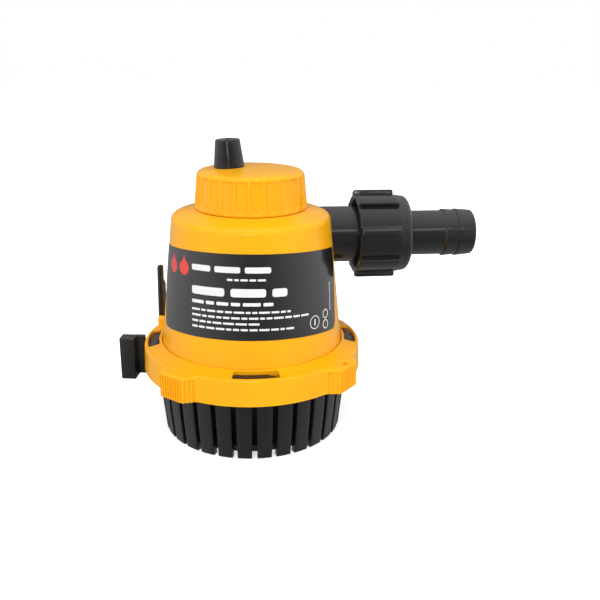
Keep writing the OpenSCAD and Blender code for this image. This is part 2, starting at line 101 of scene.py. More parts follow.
STRAINER_TOP_R = 40.0
SLOT_COUNT = 30
SLOT_W = 2.1
SLOT_TOP = 25.5
SLOT_PHASE = 3.5
OUTLET = (low_mm("hose_barb") + high_mm("hose_barb")) / 2
BARB_END = high_mm("hose_barb").x
NUT_IN = low_mm("union_nut").x
NUT_OUT = high_mm("union_nut").x
SPIGOT_IN = low_mm("outlet_spigot").x
TUBE_R = 11.8
NUT_R = 16.55
NUT_RIB_R = 18.5
SHANK_R = 9.5
BARB_R = 10.1
COLLAR_R = 14.5
THREAD_PITCH = 2.5
GLAND = (low_mm("cable_gland") + high_mm("cable_gland")) / 2
GLAND_TOP = high_mm("cable_gland").z


def cone_r(z):
    return CONE_LOW - (z - CONE_Z) * CONE_SLOPE


# ---------------------------------------------------------------- mesh building
def arc(cx, cy, r, a0, a1, n=8):
    """Points of an arc, angles in degrees."""
    points = []
    for i in range(n + 1):
        a = math.radians(a0 + (a1 - a0) * i / n)
        points.append((cx + r * math.cos(a), cy + r * math.sin(a)))
    return points


def polar(r, degrees, z):
    a = math.radians(degrees)
    return Vector((r * math.cos(a), r * math.sin(a), z))


def along_outlet(r, degrees, x):
    """A point about the outlet's axis: x along it, angle 0 pointing up."""
    a = math.radians(degrees)
    return Vector((x, OUTLET.y - r * math.sin(a), OUTLET.z + r * math.cos(a)))


def upright(at):
    """Maps (along the radius at an angle, across it, up) to a point."""
    across = polar(1, at + 90, 0)
    return lambda u, v, w: polar(u, at, w) + across * v


def turns(steps):
    return [360.0 * i / steps for i in range(steps)]


def grid(bm, rows, columns, point, skip=None):
    """A ring of quads, closed both ways round: point(i, j) places row i, column j. skip(i, j) leaves
    a face out. Returns the grid of corner points."""
    corners = [[bm.verts.new(point(i, j) * MM) for j in range(columns)] for i in range(rows)]
    for i in range(rows):
        for j in range(columns):
            if skip and skip(i, j):
                continue
            a, b = corners[i], corners[(i + 1) % rows]
            k = (j + 1) % columns
            bm.faces.new((a[j], a[k], b[k], b[j]))
    return corners


def lathe(bm, profile, angles, place=polar):
    """Turns a closed profile of (r, z) points round an axis."""
    def point(i, j):
        return place(profile[i][0], angles[j], profile[i][1])

    return grid(bm, len(profile), len(angles), point)


def prism(bm, outline, low, high, place):
    """A closed prism over an outline; place turns (u, v, w) into a point, w from low to high."""
    bottom = [bm.verts.new(place(u, v, low) * MM) for u, v in outline]
    top = [bm.verts.new(place(u, v, high) * MM) for u, v in outline]
    bm.faces.new(list(reversed(bottom)))
    bm.faces.new(top)
    for i in range(len(outline)):
        k = (i + 1) % len(outline)
        bm.faces.new((bottom[i], bottom[k], top[k], top[i]))


def loft(bm, loops):
    """A closed solid through loops that all have the same number of points."""
    rings = [[bm.verts.new(p * MM) for p in loop] for loop in loops]
    bm.faces.new(list(reversed(rings[0])))
    bm.faces.new(rings[-1])
    for a, b in zip(rings, rings[1:]):
        for i in range(len(a)):
            k = (i + 1) % len(a)
            bm.faces.new((a[i], a[k], b[k], b[i]))


def make_object(name, bm):
    bmesh.ops.remove_doubles(bm, verts=bm.verts, dist=1e-7)
    bmesh.ops.recalc_face_normals(bm, faces=bm.faces)
    mesh = bpy.data.meshes.new(name)
    bm.to_mesh(mesh)
    bm.free()
    obj = bpy.data.objects.new(name, mesh)
    bpy.context.scene.collection.objects.link(obj)
    return obj


def part(name, build, *args):
    """A new object from one of the mesh building functions above."""
    bm = bmesh.new()
    build(bm, *args)
    return make_object(name, bm)


def apply_modifiers(obj):
    bpy.context.view_layer.update()
    done = obj.evaluated_get(bpy.context.evaluated_depsgraph_get())
    mesh = bpy.data.meshes.new_from_object(done)
    obj.modifiers.clear()
    old = obj.data
    obj.data = mesh
    mesh.name = obj.name
    bpy.data.meshes.remove(old)


def bevel(obj, width, segments=2, angle=40):
    mod = obj.modifiers.new("bevel", "BEVEL")
    mod.width = width * MM
    mod.segments = segments
    mod.limit_method = "ANGLE"
    mod.angle_limit = math.radians(angle)
    mod.use_clamp_overlap = True
    apply_modifiers(obj)


def cut(obj, cutters, operation="DIFFERENCE"):
    for cutter in cutters:
        mod = obj.modifiers.new("cut", "BOOLEAN")
        mod.object = cutter
        mod.operation = operation
        mod.solver = "EXACT"
        apply_modifiers(obj)
        bpy.data.objects.remove(cutter)


def smooth(obj, angle=32):
    obj.data.polygons.foreach_set("use_smooth", [True] * len(obj.data.polygons))
    obj.data.set_sharp_from_angle(angle=math.radians(angle))


def install(obj, body, material, slot_name, *nodes):
    """Gives a finished piece its body, its finish and the CAD nodes it stands for."""
    obj.data.materials.clear()
    obj.data.materials.append(material)
    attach(obj, body)
    if nodes:
        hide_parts(*nodes)


# ---------------------------------------------------------------- materials
class Recipe:
    """A small helper that wires a node material."""

    def __init__(self, name):
        self.material = bpy.data.materials.new(name)
        self.material.use_nodes = True
        self.tree = self.material.node_tree
        self.bsdf = self.tree.nodes["Principled BSDF"]
        self.coords = self.tree.nodes.new("ShaderNodeTexCoord").outputs["Object"]

    @classmethod
    def on_tree(cls, tree):
        """A recipe that only adds nodes to a tree that is already there."""
        recipe = cls.__new__(cls)
        recipe.tree = tree
        return recipe

    def link(self, value, socket):
        if isinstance(value, bpy.types.NodeSocket):
            self.tree.links.new(value, socket)
        else:
            socket.default_value = value

    def set(self, **inputs):
        for key, value in inputs.items():
            self.link(value, self.bsdf.inputs[key.replace("_", " ")])

    def noise(self, scale, detail=3.0, rough=0.5, vector=None):
        node = self.tree.nodes.new("ShaderNodeTexNoise")
        self.link(vector or self.coords, node.inputs["Vector"])
        node.inputs["Scale"].default_value = scale
        node.inputs["Detail"].default_value = detail
        node.inputs["Roughness"].default_value = rough
        return node.outputs["Fac"]

    def stretch(self, x, y, z):
        node = self.tree.nodes.new("ShaderNodeMapping")
        self.link(self.coords, node.inputs["Vector"])
        node.inputs["Scale"].default_value = (x, y, z)
        return node.outputs["Vector"]

    def ramp(self, value, low, high, at_low=0.0, at_high=1.0):
        node = self.tree.nodes.new("ShaderNodeMapRange")
        self.link(value, node.inputs["Value"])
        node.inputs["From Min"].default_value = low
        node.inputs["From Max"].default_value = high
        node.inputs["To Min"].default_value = at_low
        node.inputs["To Max"].default_value = at_high
        return node.outputs["Result"]

    def math(self, kind, a, b=0.0):
        node = self.tree.nodes.new("ShaderNodeMath")
        node.operation = kind
        self.link(a, node.inputs[0])
        self.link(b, node.inputs[1])
        return node.outputs["Value"]

    def mix(self, fac, a, b):
        node = self.tree.nodes.new("ShaderNodeMix")
        node.data_type = "RGBA"
        self.link(fac, node.inputs["Factor"])
        self.link(a, node.inputs["A"])
        self.link(b, node.inputs["B"])
        return node.outputs["Result"]

    def soft_edges(self, radius):
        node = self.tree.nodes.new("ShaderNodeBevel")
        node.samples = 4
        node.inputs["Radius"].default_value = radius * MM
        return node.outputs["Normal"]

    def edge_mask(self, soft_normal):
        """About 1 on a corner and 0 on a flat, from how far the softened normal leans."""
        geometry = self.tree.nodes.new("ShaderNodeNewGeometry")
        node = self.tree.nodes.new("ShaderNodeVectorMath")
        node.operation = "DOT_PRODUCT"
        self.link(soft_normal, node.inputs[0])
        self.link(geometry.outputs["Normal"], node.inputs[1])
        return self.ramp(self.math("SUBTRACT", 1.0, node.outputs["Value"]), 0.004, 0.09)

    def bump(self, height, strength, distance, normal=None):
        node = self.tree.nodes.new("ShaderNodeBump")
        self.link(height, node.inputs["Height"])
        node.inputs["Strength"].default_value = strength
        node.inputs["Distance"].default_value = distance * MM
        if normal is not None:
            self.link(normal, node.inputs["Normal"])
        return node.outputs["Normal"]


def shade(color, factor):
    return tuple(min(1.0, c * factor) for c in color) + (1.0,)


def plastic(name, color, roughness, grain=0.006, edge=0.25, specular=0.5, wear=0.35, scratches=0.5):
    """Moulded plastic: faint flow streaks, a fine grain, scuffs and lighter worn corners."""
    m = Recipe(name)
    flow = m.noise(38, 4, 0.55, m.stretch(1, 1, 0.35))
    fine = m.noise(900, 3, 0.6)
    pores = m.noise(3200, 2, 0.5)
    scuff_lines = m.noise(240, 6, 0.75, m.stretch(0.25, 1, 3.2))
    scuffs = m.ramp(scuff_lines, 0.6, 0.76)
    soft = m.soft_edges(edge)
    corner = m.edge_mask(soft)
    base = m.mix(m.ramp(flow, 0.3, 0.7), shade(color, 0.93), shade(color, 1.05))
    base = m.mix(m.math("MULTIPLY", scuffs, 0.12 * scratches), base, shade(color, 1.5))
    worn = m.math("MULTIPLY", m.math("MULTIPLY", corner, m.ramp(fine, 0.4, 0.62)), wear)
    base = m.mix(worn, base, shade([c * 0.8 + 0.12 for c in color], 1.15))
    rough = m.ramp(fine, 0.3, 0.7, roughness - 0.03, roughness + 0.05)
    rough = m.math("ADD", rough, m.math("MULTIPLY", scuffs, 0.14 * scratches))
    height = m.math("ADD", m.math("MULTIPLY", fine, 0.7), m.math("MULTIPLY", pores, 0.5))
    normal = m.bump(height, 0.5, grain, soft)
    normal = m.bump(flow, 0.3, 0.05, normal)
    m.set(Base_Color=base, Roughness=rough, Normal=normal, Specular_IOR_Level=specular)
    return m.material


def metal(name, color, roughness, brushed=(1, 1, 12)):
    """Worked metal: fine tool lines, cloudy tone and dull patches."""
    m = Recipe(name)
    lines = m.noise(700, 3, 0.6, m.stretch(*brushed))
    clouds = m.noise(90, 4, 0.6)
    soft = m.soft_edges(0.12)
    base = m.mix(m.ramp(clouds, 0.3, 0.7), shade(color, 0.8), shade(color, 1.08))
    base = m.mix(m.math("MULTIPLY", m.ramp(lines, 0.55, 0.75), 0.3), base, shade(color, 0.6))
    rough = m.ramp(clouds, 0.3, 0.7, roughness - 0.05, roughness + 0.1)
    rough = m.math("ADD", rough, m.math("MULTIPLY", lines, 0.1))
    m.set(Base_Color=base, Roughness=rough, Metallic=1.0, Normal=m.bump(lines, 0.5, 0.012, soft))
    return m.material


def rubber(name, color, roughness=0.62, specular=0.5):
    """Moulded rubber: dusty bloom, pores and soft corners."""
    m = Recipe(name)
    bloom = m.noise(120, 4, 0.6)
    pores = m.noise(2400, 3, 0.6)
    soft = m.soft_edges(0.2)
    dusty = shade([c + 0.012 for c in color], 1.15)
    base = m.mix(m.ramp(bloom, 0.35, 0.7), shade(color, 0.85), dusty)
    rough = m.ramp(bloom, 0.3, 0.7, roughness - 0.08, roughness + 0.08)
    normal = m.bump(pores, 0.6, 0.004, soft)
    m.set(Base_Color=base, Roughness=rough, Normal=normal, Specular_IOR_Level=specular)
    return m.material


YELLOW = (0.95, 0.43, 0.006)
BLACK = (0.009, 0.009, 0.0092)
SATIN = {"grain": 0.0012, "edge": 0.1, "specular": 0.2, "wear": 0.12, "scratches": 0.25}
MATT = {"grain": 0.003, "edge": 0.15, "wear": 0.1, "scratches": 0.6}
GLOSS = {"grain": 0.0006, "edge": 0.12, "wear": 0.05, "scratches": 0.3}
FILM = {"grain": 0.0006, "edge": 0.05, "wear": 0.05, "scratches": 0.35}
PRINT = {"grain": 0.003, "edge": 0.02, "wear": 0.0, "scratches": 0.4}
FINISHES = (
    (plastic, "yellow_plastic", YELLOW, 0.22, SATIN),
    (plastic, "black_plastic", BLACK, 0.32, MATT),
    (plastic, "black_gloss_plastic", BLACK, 0.16, GLOSS),
    (plastic, "label_film", (0.015, 0.0148, 0.0145), 0.16, FILM),
    (plastic, "label_white", (0.8, 0.8, 0.79), 0.35, PRINT),
    (plastic, "label_red", (0.72, 0.035, 0.028), 0.35, PRINT),
    (rubber, "black_rubber", (0.009, 0.009, 0.0095), 0.24, {"specular": 0.3}),
    (plastic, "case_plastic", (0.05, 0.05, 0.053), 0.4, {"grain": 0.012}),
    (metal, "stainless", (0.72, 0.73, 0.74), 0.24),
    (metal, "plated_steel", (0.6, 0.61, 0.63), 0.32, {"brushed": (1, 1, 0.2)}),
    (plastic, "ferrite", (0.11, 0.11, 0.115), 0.6, {"grain": 0.03}),
    (metal, "core_steel", (0.42, 0.43, 0.45), 0.4, {"brushed": (0.3, 0.3, 30)}),
    (metal, "copper_wire", (0.62, 0.26, 0.1), 0.3, {"brushed": (8, 8, 0.4)}),
    (metal, "commutator_copper", (0.78, 0.42, 0.22), 0.28),
    (metal, "bronze", (0.66, 0.46, 0.24), 0.45),
    (metal, "brass_plate", (0.78, 0.62, 0.28), 0.3),
    (plastic, "carbon", (0.06, 0.06, 0.062), 0.55, {"grain": 0.02}),
    (plastic, "white_plastic", (0.78, 0.76, 0.7), 0.36, {"grain": 0.008}),
    (rubber, "lead_brown", (0.3, 0.11, 0.045), 0.4),
    (rubber, "lead_black", (0.02, 0.02, 0.02), 0.4),
)
MATERIALS = {}
for make, name, color, roughness, *more in FINISHES:
    MATERIALS[name] = make(name, color, roughness, **(more[0] if more else {}))

SLOTS = {row["node"]: row["material_slot"] for row in frame["record"]["subparts"]}
for row in frame["record"]["subparts"]:
    cad = frame["nodes"][row["node"]]
    cad.data.materials.clear()
    cad.data.materials.append(MATERIALS[row["material_slot"]])


# ---------------------------------------------------------------- pump body
def body_shell():
    fillet = 3.0
    wall = 2.5
    shoulder_turn = 78
    collar_z = CAP_Z - 0.1
    neck_out = 20.6
    neck_in = 19.0
    ceiling = collar_z - 3.4
    flange_top = FLANGE_Z + 2
    counterbore = 35.4
    low = CONE_Z + 0.9
    cone_rows = 10
    profile = [(counterbore, FLANGE_Z), (FLANGE_R - 0.3, FLANGE_Z), (FLANGE_R, FLANGE_Z + 0.3)]
    profile += [(FLANGE_R, flange_top - 0.3), (FLANGE_R - 0.3, flange_top)]
    profile += [(RING_LIP - 0.1, flange_top), (RING_LIP - 0.1, CONE_Z - 0.4)]
    profile += [(cone_r(CONE_Z) + 0.1, CONE_Z + 0.2), (cone_r(low), low)]
    for i in range(1, cone_rows):
        z = low + (SHOULDER_Z - low) * i / cone_rows
        profile.append((cone_r(z), z))
    profile += arc(cone_r(SHOULDER_Z) - fillet, SHOULDER_Z, fillet, 0, shoulder_turn, 14)
    profile += [(CAP_R + 0.7, collar_z - 0.35), (CAP_R + 0.2, collar_z), (neck_out, collar_z)]
    profile += [(neck_out, NECK_TOP - 0.3), (neck_out - 0.3, NECK_TOP), (neck_in, NECK_TOP)]
    inner = cone_r(SHOULDER_Z) - wall
    profile += [(neck_in, ceiling), (neck_in + 2, ceiling)]
    profile += arc(inner - 1.4, SHOULDER_Z - 1.2, 1.4, 78, 0, 5)
    profile += [(cone_r(38.7) - wall, 38.7), (counterbore, 38.5)]
    shell = part("body_shell_fine", lathe, profile, turns(256))
    port_r = TUBE_R + 0.15
    port = [(0, 20), (port_r, 20), (port_r, 60), (0, 60)]
    cut(shell, [part("port_cutter", lathe, port, turns(96), along_outlet)])
    smooth(shell)
    install(shell, "pump", MATERIALS["yellow_plastic"], "yellow_plastic", "body_shell")


# ---------------------------------------------------------------- cap and gland
def smooth_step(t):
    t = min(1.0, max(0.0, t))
    return t * t * (3 - 2 * t)


def flute_depth(across, up, low, high):
    """How deep a flute is: a shallow flat groove, round at the foot and square at the top."""
    half = 2.42
    depth = 0.7
    wall = 0.22
    if up < low + half:
        across = math.hypot(across, low + half - up)
    share = abs(across) / half
    crown = 1.12 - 0.12 * share
    return depth * smooth_step((1 - share) / wall) * smooth_step((high - up) / 0.55) * crown


def cap_profile():
    edge = 2.3
    side = [(CAP_R - 0.5, CAP_Z), (CAP_R - 0.15, CAP_Z + 0.12), (CAP_R, CAP_Z + 0.5)]
    rows = 46
    top_z = CAP_TOP - 3.4
    top_r = 21.75
    for i in range(1, rows + 1):
        z = CAP_Z + 0.5 + (top_z - CAP_Z - 0.5) * i / rows
        side.append((CAP_R + (top_r - CAP_R) * i / rows, z))
    side += arc(top_r - edge, top_z, edge, 6, 76, 12)
    crown = ((18.2, 0.84), (15, 0.52), (10, 0.21), (5, 0.05), (0, 0))
    return side + [(r, CAP_TOP - drop) for r, drop in crown]


def top_cap():
    flutes = 24
    pitch = 360.0 / flutes
    angles = turns(flutes * 36)
    phase = 2.5
    low = CAP_Z + 0.8
    high = CAP_TOP - 2.6
    outside = cap_profile()
    profile = outside + [(0, 106.8), (20.75, 106.8), (20.75, CAP_Z)]
    covered = len(outside) - 5

    def point(i, j):
        r, z = profile[i]
        if 2 < i < covered:
            off = (angles[j] - phase + pitch / 2) % pitch - pitch / 2
            r -= flute_depth(r * math.radians(off), z, low, high)
        return polar(r, angles[j], z)

    cap = part("top_cap_fine", grid, len(profile), len(angles), point)
    smooth(cap, 50)
    install(cap, "cartridge", MATERIALS["yellow_plastic"], "yellow_plastic", "top_cap")


def cable_gland():
    """A rubber cone with two wire holes. It leans a little away from the outlet."""
    lean = math.radians(2.8)
    seat = CAP_TOP - 0.1
    top = GLAND_TOP - 0.2

    def place(r, degrees, z):
        p = polar(r, degrees, z - seat)
        x = p.x * math.cos(lean) - p.z * math.sin(lean)
        up = p.z * math.cos(lean) + p.x * math.sin(lean)
        return Vector((GLAND.x + x, GLAND.y + p.y, seat + up))

    outer = [(0, seat - 1.2), (5.9, seat - 1.2), (6.15, seat - 0.1), (6.1, seat + 0.6)]
    outer += arc(4.45, top - 0.5, 0.5, 8, 84, 6) + [(4.1, top - 0.04), (0, top - 0.12)]
    gland = part("cable_gland_fine", lathe, outer, turns(72), place)
    hole = [(0, seat + 4), (1.35, seat + 4), (1.35, top - 0.3)]
    hole += [(1.65, top + 0.1), (1.65, top + 1), (0, top + 1)]
    cutters = []
    for side in (-1, 1):
        shift = Vector((0, side * 2.1, 0))
        beside = lambda r, d, z: place(r, d, z) + shift
        cutters.append(part("wire_cutter", lathe, hole, turns(32), beside))
    cut(gland, cutters)
    smooth(gland)
    install(gland, "cartridge", MATERIALS["black_rubber"], "black_rubber", "cable_gland")


# ---------------------------------------------------------------- lock ring
def lobe_reach(off):
    """Outer radius of the ring at an angle from a finger lobe's centre, with rounded corners."""
    foot = 11.7
    flat = 6.3
    across = abs(off)
    if across >= foot + 1:
        return RING_R
    face = LOBE_R * math.cos(math.radians(flat)) / math.cos(math.radians(across))
    ramp = LOBE_R + (RING_R - LOBE_R) * (across - flat) / (foot - flat)
    # Soft minimum of the face and the ramp, then soft maximum of that and the ring
    sharp = 5.0
    mid = 48
    total = math.exp(-sharp * (face - mid)) + math.exp(-sharp * (ramp - mid))
    reach = mid - math.log(total) / sharp
    if reach >= RING_R + 2:
        return reach
    return math.log(math.exp(4 * (reach - RING_R)) + 1) / 4 + RING_R


def lobe_groove(off, z):
    """Depth of the fine upright grip grooves on a lobe."""
    pitch = 1.5
    width = 0.31
    across = abs(off)
    top = 36.5
    if across > LOBE_GRIP or z > top:
        return 0.0
    fade = min(1.0, (top - z) / 0.4, (LOBE_GRIP - across) / 0.5)
    near = abs((across + pitch / 2) % pitch - pitch / 2) / pitch
    return 0.6 * fade * min(1.0, max(0.0, 2 * (1 - near / width)))


def lobe_drop(off):
    """How far a lobe's top lies below the round rim behind it."""
    return 0.4 * smooth_step((12.2 - abs(off)) / 1.6)


def ring_angles():
    lobes = [LOBE_AT + 90 * k for k in (-1, 0, 1)]
    angles = []
    a = -180.0
    while a < 180 - 1e-6:
        near = min(abs((a - lobe + 180) % 360 - 180) for lobe in lobes)
        angles.append(a)
        a += 0.125 if near < 13 else 0.75
    return angles, lobes


def lock_ring():
    angles, lobes = ring_angles()
    edge = 1.0
    wall_rows = [RING_Z + 0.25 + (RIM_Z - RING_Z - 0.25) * i / 12 for i in range(13)]
    # Each row is (offset in from the outer face or None, fixed radius, height)
    rows = [(0.25, None, RING_Z)] + [(0.0, None, z) for z in wall_rows]
    rows += [(edge - x, None, z) for x, z in arc(0, RIM_Z, edge, 15, 90, 7)]
    step = len(rows)
    top = 37.9
    fixed = [(r, top) for r in (45.55, 45.25, 44.9)]
    fixed += [(r, top + (44.4 - r) * 0.21) for r in (44.4, 43, 41.5, 40)]
    fixed += [(39.2, 39.05), (38.75, 39.24), (38.45, 39.18), (RING_LIP + 0.12, 38.9)]
    fixed += [(RING_LIP, 38.5), (RING_LIP, RING_WEB), (GROOVE_IN, RING_WEB)]
    fixed += [(GROOVE_IN, GROOVE_Z + TOP_SLOPE * (RING_IN - GROOVE_IN)), (RING_IN, GROOVE_Z)]
    fixed += [(RING_IN, RING_Z + 0.25), (RING_IN + 0.25, RING_Z)]
    rows += [(None, r, z) for r, z in fixed]
    offs = [min(((a - lobe + 180) % 360 - 180 for lobe in lobes), key=abs) for a in angles]

    def point(i, j):
        inset, r, z = rows[i]
        if inset is not None:
            draft = 0.035 * (z - RING_Z) * (1 if abs(offs[j]) > 13 else 0.6)
            r = lobe_reach(offs[j]) - inset - draft
            if z < RIM_Z - 0.3:
                r -= lobe_groove(offs[j], z)
            else:
                z -= lobe_drop(offs[j])
        elif i == step:
            z -= lobe_drop(offs[j])
        if step <= i < step + 3:
            r = min(r, lobe_reach(offs[j]) - 1.4 - 0.04 * (i - step))
        return polar(r, angles[j], z)

    ring = part("lock_ring_fine", grid, len(rows), len(angles), point)
    cutters = [window_cutter(at) for at in QUARTERS]
    dimple = polar(47.3, LOBE_AT, 0)
    outline = [(0, 36.6), (1.3, 36.6), (1.3, 40), (0, 40)]
    place = lambda r, d, z: polar(r, d, z) + dimple
    cutters.append(part("dimple_cutter", lathe, outline, turns(32), place))
    cut(ring, cutters)
    parts = [ring] + [bayonet_tab(at) for at in QUARTERS] + [catch_hook()]
    ring = merge("lock_ring_fine", parts)
    smooth(ring)
    install(ring, "ring", MATERIALS["yellow_plastic"], "yellow_plastic", "lock_ring")


def rounded_box(half_u, half_v, r):
    """Outline of a rectangle with rounded corners, centred on the origin."""
    cx, cy = half_u - r, half_v - r
    outline = []
    for side, end, start in ((1, 1, 0), (-1, 1, 90), (-1, -1, 180), (1, -1, 270)):
        outline += arc(side * cx, end * cy, r, start, start + 90, 4)
    return outline


def curved_place(at, mid_r):
    """Maps (along the arc, outward, up) to a point on a curved strip centred at an angle."""
    return lambda u, v, w: polar(mid_r + v, at + math.degrees(u / mid_r), w)


def long_outline(half_u, half_v, r):
    """A rounded rectangle whose long sides are cut short enough to bend round an arc."""
    cuts = 12
    outline = rounded_box(half_u, half_v, r)
    result = []
    for i, (u, v) in enumerate(outline):
        k = outline[(i + 1) % len(outline)]
        result.append((u, v))
        if abs(k[0] - u) > half_u:
            result += [(u + (k[0] - u) * t / cuts, v) for t in range(1, cuts)]
    return result


def window_cutter(at):
    mid = 41.85
    outline = long_outline(math.radians(12.25) * mid, 2.35, 0.7)
    return part("window_cutter", prism, outline, 34, 42, curved_place(at, mid))


def bayonet_tab(at):
    mid = 42.3
    outline = long_outline(math.radians(11) * mid, 1.85, 0.5)
    tab = part("bayonet_tab", prism, outline, 28, 31.3, curved_place(at, mid))
    bevel(tab, 0.25)
    return tab


def catch_hook():
    half = 1.45
    outline = [(-half, 0), (half, 0)] + arc(0, 3.0, half, 0, 180, 12)
    place = upright(HOOK_AT)
    hook = part("catch_hook", prism, outline, 41.7, 45.1, lambda u, v, w: place(w, u, 37.4 + v))
    bevel(hook, 0.35, 3)
    return hook


def merge(name, objects):
    """Joins finished shells into one piece."""
    bm = bmesh.new()
    for obj in objects:
        bm.from_mesh(obj.data)
        mesh = obj.data
        bpy.data.objects.remove(obj)
        bpy.data.meshes.remove(mesh)
    mesh = bpy.data.meshes.new(name)
    bm.to_mesh(mesh)
    bm.free()
    obj = bpy.data.objects.new(name, mesh)
    bpy.context.scene.collection.objects.link(obj)
    return obj


# ---------------------------------------------------------------- strainer base
def strainer_cup():
    """The slotted wall: whole above the slots, and separate fins below."""
    outside = arc(FOOT_R - 0.9, 0.9, 0.9, -84, 0, 5)
    outside += [(38.5, 6.5), (39.1, 12), (39.45, 17), (39.8, 22), (39.95, SLOT_TOP)]
    outside += [(STRAINER_TOP_R, 29), (STRAINER_TOP_R, 34.0), (STRAINER_TOP_R - 0.3, 34.3)]
    inside = [(34.6, 0.0), (34.7, 0.2), (34.75, 0.4), (34.8, 0.7), (34.9, 1.2), (35.0, 2.0)]
    inside += [(35.7, 6.5), (36.2, 12), (36.6, 17), (36.9, 22), (37.0, SLOT_TOP)]
    inside += [(37.2, 29), (37.2, 34.0), (37.5, 34.3)]
    count = len(outside)
    slot_row = outside.index((39.95, SLOT_TOP))
    pitch = 360.0 / SLOT_COUNT
    per = 5
    columns = SLOT_COUNT * per
    half = SLOT_W / 2

    def point(i, j):
        r, z = outside[i] if i < count else inside[2 * count - 1 - i]
        k, spot = divmod(j, per)
        edge = math.degrees(math.asin(half / r))
        if spot == 0:
            a = -edge
        elif spot == 1:
            a = edge
        else:
            a = edge + (pitch - 2 * edge) * (spot - 1) / (per - 1)
        return polar(r, SLOT_PHASE + a + k * pitch, z)

    def skip(i, j):
        if j % per:
            return False
        return i < slot_row or i >= 2 * count - 1 - slot_row

    bm = bmesh.new()
    corners = grid(bm, 2 * count, columns, point, skip=skip)
    for k in range(SLOT_COUNT):
        left, right = k * per, k * per + 1
        for i in range(slot_row):
            a, b = 2 * count - 1 - i, 2 * count - 2 - i
            for j in (left, right):
                bm.faces.new((corners[i][j], corners[i + 1][j], corners[b][j], corners[a][j]))
        a = 2 * count - 1 - slot_row
        outer, inner = corners[slot_row], corners[a]
        bm.faces.new((outer[left], outer[right], inner[right], inner[left]))
    cup = make_object("strainer_cup", bm)
    bevel(cup, 0.28, 2, 50)
    return cup


def strainer_floor():
    top = 4.7
    bottom = 2.2
    pad_r = 5.0
    hole_r = 2.3
    pcd_r = 24.0
    rim = 35.6
    profile = [(0, bottom), (rim - 0.3, bottom), (rim, bottom + 0.3)]
    profile += [(rim, top - 0.3), (rim - 0.3, top), (0, top)]
    floor = part("strainer_floor", lathe, profile, turns(180))
    pads = []
    holes = []
    for at in (45, 135, 225, 315):
        shift = polar(pcd_r, at, 0)
        for r, low, high, group in ((pad_r, 0, top - 0.5, pads), (hole_r, -1, 8, holes)):
            outline = [(0, low), (r, low), (r, high), (0, high)]
            place = lambda r, d, z: polar(r, d, z) + shift
            group.append(part("pad", lathe, outline, turns(48), place))
    cut(floor, pads, "UNION")
    cut(floor, holes)
    return floor


def bayonet_lug(at):
    """A curved lug on the base's rim, with a top that falls outwards and a ramp at one end."""
    mid = 41.7
    half_t = 1.9
    low = 31.6
    top = 37.0
    half = math.radians(12) * mid
    ramp = 4.2
    steps = 12
    stations = [-half + (2 * half - ramp) * i / steps for i in range(steps + 1)]
    stations += [half - ramp / 2, half]
    loops = []
    for u in stations:
        high = top - 1.4 * max(0.0, 1 - (half - u) / ramp)
        inner = high + 2 * half_t * TOP_SLOPE
        corners = [(-half_t, low), (half_t, low), (half_t, high), (-half_t, inner)]
        loops.append([polar(mid + w, at + math.degrees(u / mid), v) for w, v in corners])
    lug = part("bayonet_lug", loft, loops)
    bevel(lug, 0.3)
    return lug


def accessory_rail():
    """An upright L: a thin web out from the base, and a block on its end that reaches forwards."""
    arm_low = 20.4
    head_low = 18.7
    high = 37.8
    head_in = 50
    head_out = 56.6
    side = 1.2
    arm = side + 2.2
    head = side + 5.6
    place = upright(RAIL_AT)

    def block(u0, u1, v0, v1, low, top, edge):
        obj = part("rail_part", prism, [(u0, v0), (u1, v0), (u1, v1), (u0, v1)], low, top, place)
        bevel(obj, edge, 3)
        return obj

    parts = [block(head_in, head_out, side, head, head_low, high, 0.7)]
    parts.append(block(RING_R + 0.3, head_in + 1, side, arm, arm_low, high, 0.3))
    parts.append(block(STRAINER_TOP_R - 1.5, head_in + 1, side, arm, arm_low, RING_Z - 0.4, 0.3))
    # Fillet where the web meets the block
    fillet = 1.3
    outline = [(head_in + 0.5, arm_low + 0.2), (head_in + 0.5, arm_low - fillet)]
    outline += arc(head_in - fillet, arm_low - fillet, fillet, 0, 90, 8)
    outline.append((head_in - fillet, arm_low + 0.2))
    on_side = lambda u, v, w: place(u, w, v)
    parts.append(part("rail_fillet", prism, outline, side + 0.3, arm - 0.3, on_side))
    return parts


def lever_ears():
    ear_t = 2.0
    ear_gap = 6.4
    root = 38.3
    low = 17.5
    high = 25.5
    place = upright(LEVER_AT)
    on_side = lambda u, v, w: place(u, w, v)
    pivot = LEVER_PIVOT_R
    outline = [(root, low), (pivot, low)] + arc(pivot, LEVER_PIVOT_Z, 3.0, -70, 80, 10)
    outline += [(pivot, high - 0.5), (pivot - 0.6, high), (root, high)]
    pin_hole = arc(pivot, LEVER_PIVOT_Z, 1.56, 0, 345, 23)
    ears = []
    for side in (-1, 1):
        middle = side * (ear_gap + ear_t) / 2
        ear = part("ear", prism, outline, middle - ear_t / 2, middle + ear_t / 2, on_side)
        bevel(ear, 0.3)
        cut(ear, [part("pin_cutter", prism, pin_hole, middle - 3, middle + 3, on_side)])
        ears.append(ear)
    return ears


def strainer_base():
    parts = [strainer_cup(), strainer_floor()]
    parts += [bayonet_lug(at) for at in QUARTERS] + accessory_rail() + lever_ears()
    base = merge("strainer_base_fine", parts)
    smooth(base, 35)
    install(base, "pump", MATERIALS["black_plastic"], "black_plastic", "strainer_base")


